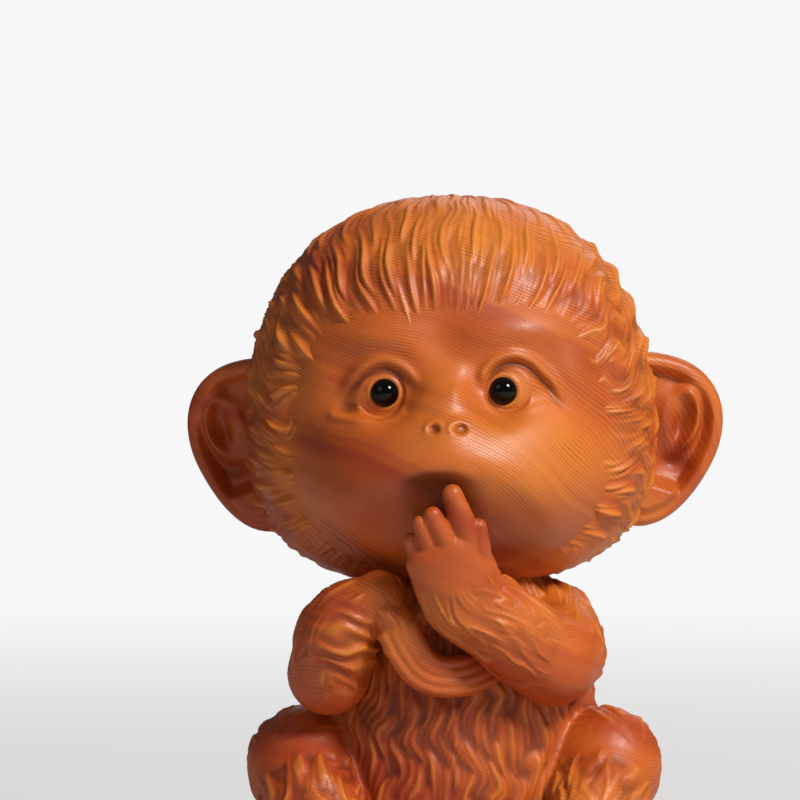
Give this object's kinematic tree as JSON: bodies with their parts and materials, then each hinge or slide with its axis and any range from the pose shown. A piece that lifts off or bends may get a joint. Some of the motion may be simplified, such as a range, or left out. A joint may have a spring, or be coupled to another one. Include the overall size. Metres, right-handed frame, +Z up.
{
  "type": "carved monkey figurine",
  "caption": "Small seated monkey carved from one block of wood, one finger at its mouth, with inlaid glossy eye beads.",
  "frame": {"origin": "middle of the overall footprint, on the flat base", "axes": "+Z up, -Y where the monkey looks, +X to the monkey's own left"},
  "size_m": [0.0538, 0.04, 0.07],
  "materials": {
    "wood": "orange-brown close-ringed wood, hand polished to a satin sheen",
    "eye_bead": "black, glossy, opaque"
  },
  "bodies": {
    "root": {"carved_monkey": "wood", "left_eye_bead": "eye_bead", "right_eye_bead": "eye_bead"}
  },
  "joints": []
}
